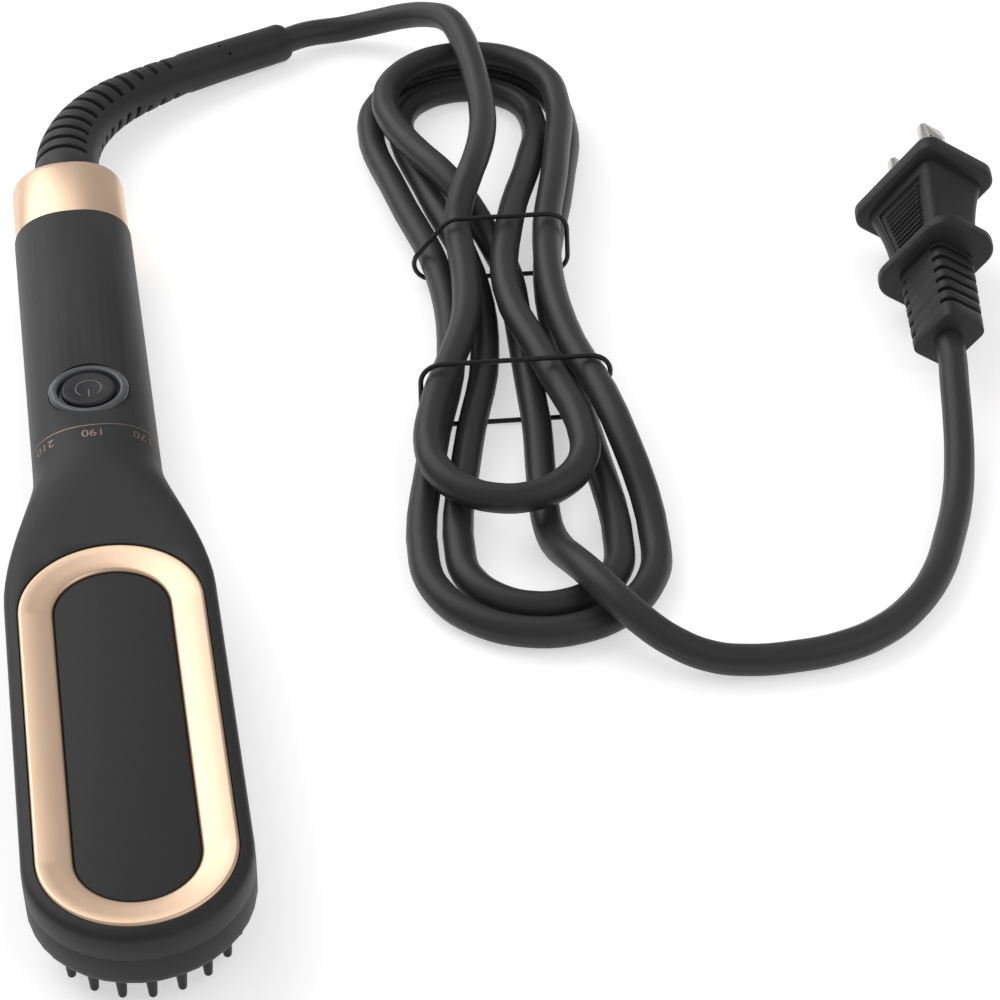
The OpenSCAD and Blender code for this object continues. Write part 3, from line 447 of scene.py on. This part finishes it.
# Comb's own frame.
# The comb rests on its teeth and the end of its housing, so its axis tips up a little at the head.
# Pieces of the comb are made with the tail at the origin and the head along -Y, then laid in place.
# Depths below the axis: handle_half_t at the end of the housing, teeth_reach at the tips. Distances
# from the tail to where it rests: collar_l at the housing, teeth_touch at the nearest guard teeth,
# which stand on a half circle about neck_centre.
handle_half_t = 10.3
handle_half_w = 14.3
collar_l = 25
teeth_reach = 12
neck_centre = 171.3
tooth_row_r = 18.2
teeth_touch = neck_centre - tooth_row_r
tilt = math.atan((teeth_reach - handle_half_t) / (teeth_touch - collar_l))
rest_z = handle_half_t * math.cos(tilt) - collar_l * math.sin(tilt)
comb_place = Matrix.Translation((0, tail_y * mm, rest_z * mm)) @ Matrix.Rotation(-tilt, 4, "X")


def lay(piece, place):
    """Puts the place in the mesh, so the object itself stays at the origin."""
    piece.data.transform(place @ piece.matrix_world)
    piece.matrix_world = Matrix.Identity(4)
    piece.data.update()


stem_r = 4.5
stem_l = 17
bpy.ops.object.select_all(action="DESELECT")
bpy.ops.mesh.primitive_cylinder_add(vertices=64, radius=stem_r * mm, depth=stem_l * mm,
                                    location=(0, -stem_l / 2 * mm, 0), rotation=(math.radians(90), 0, 0))
stem = bpy.context.object
stem.name = "swivel_stem"
finished(stem, 0.4)
lay(stem, comb_place)
stem.data.materials.append(relief_material)
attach(stem, "cord_set")
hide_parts("strain_relief")
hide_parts("strain_relief")

# Hank ties.
# Two loops of plastic-coated wire, one over each half of the hank's waist, drawn round all its runs.
tie_coating = moulded("tie_coating", (0.012, 0.012, 0.013), 0.4, 0.3, 0.01)


def tie_loop(corners):
    """A closed loop of points (across, up), drawn tight round the runs at the corners."""
    corner_steps = 8
    loop = []
    for i, (p, z) in enumerate(corners):
        before, after = corners[i - 1], corners[(i + 1) % len(corners)]
        a0 = math.atan2(z - before[1], p - before[0]) + math.pi / 2
        a1 = math.atan2(after[1] - z, after[0] - p) + math.pi / 2
        turn = (a1 - a0 + math.pi) % (2 * math.pi) - math.pi
        for k in range(corner_steps + 1):
            a = a0 + turn * k / corner_steps
            loop.append((p + tie_r * math.cos(a), z + tie_r * math.sin(a)))
    return loop


# Name, place along the hank, and where the upper left run is there.
for name, q, upper_left in (("tie_far", 22, start_p), ("tie_near", -36, run_p(0, -36))):
    corners = [(run_p(4, q), low), (upper_left, high), (run_p(5, q), high), (run_p(3, q), low)]
    loop = [in_hank(p, q, z) for p, z in tie_loop(corners)]
    tie = smooth_curve(name + "_wire", loop, tie_wire_d, closed=True)
    for knot in tie.data.splines[0].bezier_points:
        knot.handle_left_type = knot.handle_right_type = "VECTOR"
    tie.data.materials.append(tie_coating)
    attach(tie, "cord_set")
    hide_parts(name)

# Plug.
# One moulding of black rubber over two nickel-plated blades: a slotted tail, a thumb flange,
# a widening body with a ribbed panel sunk into each side, and a front flange with rounded corners.
plug_rubber = moulded("plug_rubber", (0.023, 0.023, 0.024), 0.46, 0.35, 0.03)
plug_place = (Matrix.Translation((plug_at[0] * mm, (tail_y + plug_at[1]) * mm, plug_at[2] * mm))
              @ Matrix.Rotation(math.radians(-8.7), 4, "Z") @ Matrix.Rotation(math.radians(6.9), 4, "X")
              @ Matrix.Rotation(math.radians(-57), 4, "Y"))


def lofted(name, sections):
    """A block drawn out along +Y: each section is (y, width, height)."""
    y, w, h = sections[0]
    bpy.ops.object.select_all(action="DESELECT")
    bpy.ops.mesh.primitive_plane_add(size=1, location=(0, y * mm, 0), rotation=(math.radians(90), 0, 0))
    block = bpy.context.object
    block.name = name
    block.scale = (w * mm, h * mm, 1)
    bpy.ops.object.transform_apply(location=True, rotation=True, scale=True)
    bpy.ops.object.mode_set(mode="EDIT")
    bpy.ops.mesh.select_all(action="SELECT")
    for (y0, w0, h0), (y1, w1, h1) in zip(sections, sections[1:]):
        bpy.ops.mesh.extrude_region_move(TRANSFORM_OT_translate={"value": (0, (y1 - y0) * mm, 0)})
        bpy.ops.transform.resize(value=(w1 / w0, 1, h1 / h0), center_override=(0, y1 * mm, 0))
    bpy.ops.mesh.select_all(action="SELECT")
    bpy.ops.mesh.normals_make_consistent(inside=False)
    bpy.ops.object.mode_set(mode="OBJECT")
    return block


def rounded_long_edges(piece, radius, segments=4):
    """Rounds the edges that run along the plug."""
    only(piece)
    bpy.context.tool_settings.mesh_select_mode = (False, True, False)
    for part in list(piece.data.vertices) + list(piece.data.edges) + list(piece.data.polygons):
        part.select = False
    for edge in piece.data.edges:
        a, b = (piece.data.vertices[i].co for i in edge.vertices)
        edge.select = abs(a.y - b.y) > 0.7 * (a - b).length
    bpy.ops.object.mode_set(mode="EDIT")
    bpy.ops.mesh.bevel(offset=radius * mm, segments=segments, affect="EDGES")
    bpy.ops.object.mode_set(mode="OBJECT")


plug_tail = lofted("plug_tail", [(0, 15, 11.6), (25.4, 15.8, 12.4)])
rounded_long_edges(plug_tail, 2.4)
tail_slots = 6
tail_slot_pitch = 3.6
tail_slot_size = (6.75, 1.2, 24)
tail_cutters = []
for i in range(tail_slots):
    for side in (-1, 1):
        y = 3.4 + i * tail_slot_pitch + (side + 1) * tail_slot_pitch / 4
        bpy.ops.object.select_all(action="DESELECT")
        bpy.ops.mesh.primitive_cube_add(size=1, location=(side * 8.1 * mm, y * mm, 0))
        cutter = bpy.context.object
        cutter.scale = [width * mm for width in tail_slot_size]
        bpy.ops.object.transform_apply(location=True, rotation=True, scale=True)
        tail_cutters.append(cutter)
cut(plug_tail, joined(tail_cutters))
finished(plug_tail, 0.15, angle=50)

plug_thumb = lofted("plug_thumb", [(25, 28, 19), (28.6, 28, 19)])
rounded_long_edges(plug_thumb, 5.8, 8)
finished(plug_thumb, 0.9, angle=50, segments=4, smooth=40)


def grip(t):
    """Station of the grip at fraction t of its length: distance along the plug, width, height."""
    return 28.5 + 20.6 * t, 18.6 + 6.4 * t ** 1.9, 14.2 + 3.9 * t ** 1.9


plug_grip = lofted("plug_grip", [grip(i / 9) for i in range(10)])
rounded_long_edges(plug_grip, 2.6)
panel_from, panel_to = 31, 46.5
cutter_h = 4


def panel_floor(y):
    """Height of the sunk grip panel's floor over the plug's middle, at distance y along it."""
    return 6.5 + 1.25 * (y - panel_from) / (panel_to - panel_from)


for side in (-1, 1):
    panel_cutter = lofted("panel_cutter", [(panel_from, 11, cutter_h), (panel_to, 15.6, cutter_h)])
    for vertex in panel_cutter.data.vertices:
        lift = cutter_h if vertex.co.z > 0 else 0
        vertex.co.z = side * (panel_floor(vertex.co.y / mm) + lift) * mm
    only(panel_cutter)
    bpy.ops.object.mode_set(mode="EDIT")
    bpy.ops.mesh.select_all(action="SELECT")
    bpy.ops.mesh.normals_make_consistent(inside=False)
    bpy.ops.object.mode_set(mode="OBJECT")
    cut(plug_grip, panel_cutter)
finished(plug_grip, 0.2, angle=35, smooth=35)
plug_front = lofted("plug_front", [(49, 31, 22.5), (54, 31, 22.5)])
rounded_long_edges(plug_front, 4, 8)
finished(plug_front, 1.2, angle=50, segments=4, smooth=40)

rib_count = 9
rib_pitch = 1.45
grip_ribs = []
for i in range(rib_count):
    for side in (-1, 1):
        y = 32.9 + rib_pitch * i
        rib_l = 8.4 + 0.3 * (y - panel_from)
        rib_z = side * (panel_floor(y) + 0.05)
        bpy.ops.object.select_all(action="DESELECT")
        bpy.ops.mesh.primitive_cylinder_add(vertices=12, radius=0.42 * mm, depth=rib_l * mm,
                                            location=(0, y * mm, rib_z * mm),
                                            rotation=(0, math.radians(90), 0))
        grip_ribs.append(bpy.context.object)
plug_ribs = joined(grip_ribs)
plug_ribs.name = "plug_grip_ribs"
finished(plug_ribs)

plug_parts = [plug_tail, plug_thumb, plug_grip, plug_ribs, plug_front]
for part in plug_parts:
    lay(part, plug_place)
    part.data.materials.append(plug_rubber)
    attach(part, "cord_set")
    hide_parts("plug_body")


def metal(name, colour, roughness, grain, relief, brush=(1, 1, 1)):
    """Bright metal or metallised plastic, with a fine grain that brush draws out along one axis."""
    finish = bpy.data.materials.new(name)
    finish.use_nodes = True
    nodes, links = finish.node_tree.nodes, finish.node_tree.links
    skin = nodes["Principled BSDF"]
    skin.inputs["Metallic"].default_value = 1.0
    place = nodes.new("ShaderNodeTexCoord")
    stretch = nodes.new("ShaderNodeMapping")
    stretch.inputs["Scale"].default_value = brush
    fine = nodes.new("ShaderNodeTexNoise")
    fine.inputs["Scale"].default_value = 1 / (grain * mm)
    fine.inputs["Detail"].default_value = 4
    broad = nodes.new("ShaderNodeTexNoise")
    broad.inputs["Scale"].default_value = 40
    links.new(place.outputs["Object"], stretch.inputs["Vector"])
    links.new(stretch.outputs["Vector"], fine.inputs["Vector"])
    links.new(place.outputs["Object"], broad.inputs["Vector"])
    tone = nodes.new("ShaderNodeMix")
    tone.data_type = "RGBA"
    tone.inputs[6].default_value = [c * 0.95 for c in colour] + [1]
    tone.inputs[7].default_value = [min(1, c * 1.05) for c in colour] + [1]
    links.new(broad.outputs["Fac"], tone.inputs[0])
    links.new(tone.outputs[2], skin.inputs["Base Color"])
    gloss = nodes.new("ShaderNodeMapRange")
    gloss.inputs["To Min"].default_value = max(0.03, roughness - 0.06)
    gloss.inputs["To Max"].default_value = roughness + 0.06
    links.new(fine.outputs["Fac"], gloss.inputs["Value"])
    links.new(gloss.outputs["Result"], skin.inputs["Roughness"])
    bump = nodes.new("ShaderNodeBump")
    bump.inputs["Strength"].default_value = 0.25
    bump.inputs["Distance"].default_value = relief * mm
    links.new(fine.outputs["Fac"], bump.inputs["Height"])
    links.new(bump.outputs["Normal"], skin.inputs["Normal"])
    return finish


def dressed(node, finish, edge=0.2, angle=35, smooth=30, flat=0.3):
    """A copy of a solid with its loose triangles joined, its edges eased and its faces shaded smooth."""
    cad = frame["nodes"][node]
    piece = bpy.data.objects.new(node + "_skin", cad.data.copy())
    bpy.context.scene.collection.objects.link(piece)
    only(piece)
    if piece.data.has_custom_normals:
        bpy.ops.mesh.customdata_custom_splitnormals_clear()
    bpy.ops.object.mode_set(mode="EDIT")
    bpy.ops.mesh.select_all(action="SELECT")
    bpy.ops.mesh.remove_doubles(threshold=0.002 * mm)
    bpy.ops.mesh.dissolve_limited(angle_limit=math.radians(flat))
    bpy.ops.object.mode_set(mode="OBJECT")
    finished(piece, edge, angle, 2, smooth)
    piece.data.materials.clear()
    piece.data.materials.append(finish)
    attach(piece, cad["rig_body"])
    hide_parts(node)
    return piece


blade_nickel = metal("blade_nickel", (0.66, 0.64, 0.6), 0.24, 0.5, 0.01, brush=(1, 0.2, 1))
blades = dressed("plug_blades", blade_nickel, 0.2)

# Collar.
# A rose-gold metallised cap over the tail; its end wall has the round hole that the strain relief turns in.
rose_gold = metal("rose_gold", (0.88, 0.635, 0.46), 0.4, 0.25, 0.006)
dressed("tail_collar", rose_gold, 0.3, angle=30, smooth=40)

# Swivel bearing inside the collar, with the clip that keeps the stem in it.
inner_nylon = moulded("inner_nylon", (0.06, 0.06, 0.064), 0.55, 0.6, 0.03)
dressed("swivel_housing", inner_nylon, 0.2)
steel = metal("bright_steel", (0.56, 0.57, 0.58), 0.28, 0.4, 0.01)

# Housing.
# Two long shells of soft-touch black plastic that part along the sides, widening from the oval
# handle into the flat head; the back one carries the button and trim, the front one the teeth.
soft_touch = moulded("soft_touch", (0.024, 0.024, 0.025), 0.5, 0.35, 0.025, mottle=0.08)
dressed("back_shell", soft_touch, 0.25, angle=40, smooth=35)
dressed("front_shell", soft_touch, 0.25, angle=40, smooth=35)

# Trim and panel on the head's back.
# A dished racetrack ring in the collar's rose gold, round a sunk matt black panel.
dressed("trim_ring", rose_gold, 0.25, angle=25, smooth=40, flat=0.02)
panel_black = moulded("panel_black", (0.02, 0.02, 0.021), 0.55, 0.45, 0.03, mottle=0.06)
dressed("back_panel", panel_black, 0.15)

# Button and light ring.
# A translucent grey ring, lit from below in use, round a satin black button with a power sign on it.
ring_grey = moulded("ring_grey", (0.095, 0.098, 0.104), 0.24, 0.8, 0.008, mottle=0.05, coat=0.3)
dressed("light_ring", ring_grey, 0.15, smooth=40)
button_black = moulded("button_black", (0.016, 0.015, 0.018), 0.34, 0.5, 0.01)
dressed("power_button", button_black, 0.15, smooth=40)

sign_grey = moulded("sign_grey", (0.24, 0.24, 0.25), 0.4, 0.3, 0.005)
button_y = -98
sign_z = 9.87
sign_r = 2.9
sign_gap = 76
sign_curve = bpy.data.curves.new("power_sign", "CURVE")
sign_curve.dimensions = "3D"
sign_curve.bevel_depth = 0.14 * mm
sign_curve.bevel_resolution = 2
sign_curve.use_fill_caps = True
arc = sign_curve.splines.new("POLY")
arc_steps = 40
arc.points.add(arc_steps)
for k, knot in enumerate(arc.points):
    a = math.radians(-90 + sign_gap / 2 + (360 - sign_gap) * k / arc_steps)
    x, y = sign_r * math.cos(a), button_y + sign_r * math.sin(a)
    knot.co = (x * mm, y * mm, (sign_z + 0.13) * mm, 1)
bar = sign_curve.splines.new("POLY")
bar.points.add(1)
bar.points[0].co = (0, (button_y - 0.2) * mm, sign_z * mm, 1)
bar.points[1].co = (0, (button_y - 3.2) * mm, (sign_z + 0.15) * mm, 1)
sign = bpy.data.objects.new("power_sign", sign_curve)
bpy.context.scene.collection.objects.link(sign)
only(sign)
bpy.ops.object.convert(target="MESH")
sign = bpy.context.object
lay(sign, comb_place)
sign.data.materials.clear()
sign.data.materials.append(sign_grey)
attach(sign, "button")

# Printed marks on the handle.
# A thin rose-gold line right round the back of the handle, with plain numbers beside it.
print_line_y = -111.9
numbers_y = -114.6
print_proud = 0.03
print_gold = metal("print_gold", (0.31, 0.22, 0.18), 0.45, 0.3, 0.004)


def handle_skin(s):
    """Point and outward normal of the handle's back, at distance s round it from its middle."""
    steps = 240
    squareness = 2 / 2.3
    points = []
    for k in range(steps + 1):
        a = math.radians(90 - 89.9 + 2 * 89.9 * k / steps)
        c, h = math.cos(a), math.sin(a)
        across = math.copysign(abs(c) ** squareness, c) * handle_half_w
        points.append(Vector((across, h ** squareness * handle_half_t)))
    points.reverse()
    step = 1 if s > 0 else -1
    i, left = steps // 2, abs(s)
    while 0 < i < steps:
        length = (points[i + step] - points[i]).length
        if left <= length:
            break
        left -= length
        i += step
    along = (points[i + step] - points[i]).normalized()
    place = points[i] + along * left
    out = Vector((-along.y, along.x)) * step
    return place, out


def wrapped(piece, proud):
    """Bends a flat print, drawn as (distance round the handle, distance along it), on to the handle."""
    for vertex in piece.data.vertices:
        s, y, z = vertex.co / mm
        place, out = handle_skin(s)
        place = place + out * (proud + z)
        vertex.co = Vector((place.x, y, place.y)) * mm


bpy.ops.object.select_all(action="DESELECT")
bpy.ops.mesh.primitive_plane_add(size=1, location=(0, 0, 0))
line = bpy.context.object
line.name = "print_line"
line.scale = (36 * mm, 0.3 * mm, 1)
line.location = (0, print_line_y * mm, 0)
bpy.ops.object.transform_apply(location=True, rotation=True, scale=True)
bpy.ops.object.mode_set(mode="EDIT")
bpy.ops.mesh.select_all(action="SELECT")
bpy.ops.mesh.subdivide(number_cuts=60)
bpy.ops.object.mode_set(mode="OBJECT")
wrapped(line, print_proud)
lay(line, comb_place)
line.data.materials.append(print_gold)
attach(line, "comb")
for label, s in (("170", 11.5), ("190", 0.0), ("210", -11.5)):
    bpy.ops.object.select_all(action="DESELECT")
    bpy.ops.object.text_add(location=(0, 0, 0))
    number = bpy.context.object
    number.data.body = label
    number.data.size = 3.5 * mm
    number.data.align_x = "CENTER"
    number.data.align_y = "CENTER"
    bpy.ops.object.convert(target="MESH")
    number = bpy.context.object
    number.name = "print_" + label
    number.rotation_euler = (0, 0, math.pi)
    number.location = (s * mm, numbers_y * mm, 0)
    bpy.ops.object.transform_apply(location=True, rotation=True, scale=True)
    wrapped(number, print_proud)
    lay(number, comb_place)
    number.data.materials.clear()
    number.data.materials.append(print_gold)
    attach(number, "comb")

# Teeth.
# The outer guard teeth and their frame are cool nylon; three heated rows stand in the coated plate.
guard_nylon = moulded("guard_nylon", (0.02, 0.02, 0.021), 0.45, 0.5, 0.02)
plate_coat = moulded("plate_coat", (0.06, 0.06, 0.063), 0.35, 0.25, 0.02, coat=0.1)
hot_coat = moulded("hot_coat", (0.4, 0.26, 0.19), 0.32, 0.25, 0.015, coat=0.15)
for node in ("guard_frame", "guard_teeth_left", "guard_teeth_right", "guard_teeth_end", "guard_teeth_neck"):
    dressed(node, guard_nylon, 0.12, smooth=40)
dressed("heated_plate", plate_coat, 0.15)
for node in ("heated_teeth_left", "heated_teeth_middle", "heated_teeth_right"):
    dressed(node, hot_coat, 0.1, smooth=40)

# Inside the housing.
# Heating elements, their clamp and sensors over the plate, and the switch board under the button.
ceramic = moulded("ceramic", (0.6, 0.58, 0.52), 0.6, 0.4, 0.02)
amber_film = moulded("amber_film", (0.55, 0.36, 0.1), 0.25, 0.6, 0.005)
board_lacquer = moulded("board_lacquer", (0.03, 0.14, 0.06), 0.3, 0.5, 0.01)
led_clear = moulded("led_clear", (0.78, 0.8, 0.78), 0.2, 0.5, 0.005)
bead_glass = moulded("bead_glass", (0.3, 0.1, 0.05), 0.15, 0.5, 0.005)
red_silicone = moulded("red_silicone", (0.4, 0.05, 0.035), 0.5, 0.4, 0.01)
blue_silicone = moulded("blue_silicone", (0.04, 0.1, 0.32), 0.5, 0.4, 0.01)
inside = {
    "heating_elements": ceramic, "insulating_sheet": amber_film, "clamp_plate": steel,
    "clamp_screws": steel, "thermal_fuse": ceramic, "temperature_sensor": bead_glass,
    "heater_wires": red_silicone, "supply_wires": blue_silicone, "circuit_board": board_lacquer,
    "board_screws": steel, "tact_switch": steel, "switch_plunger": inner_nylon,
    "ring_leds": led_clear, "swivel_clip": steel,
}
for node, finish in inside.items():
    mesh = frame["nodes"][node].data
    mesh.materials.clear()
    mesh.materials.append(finish)
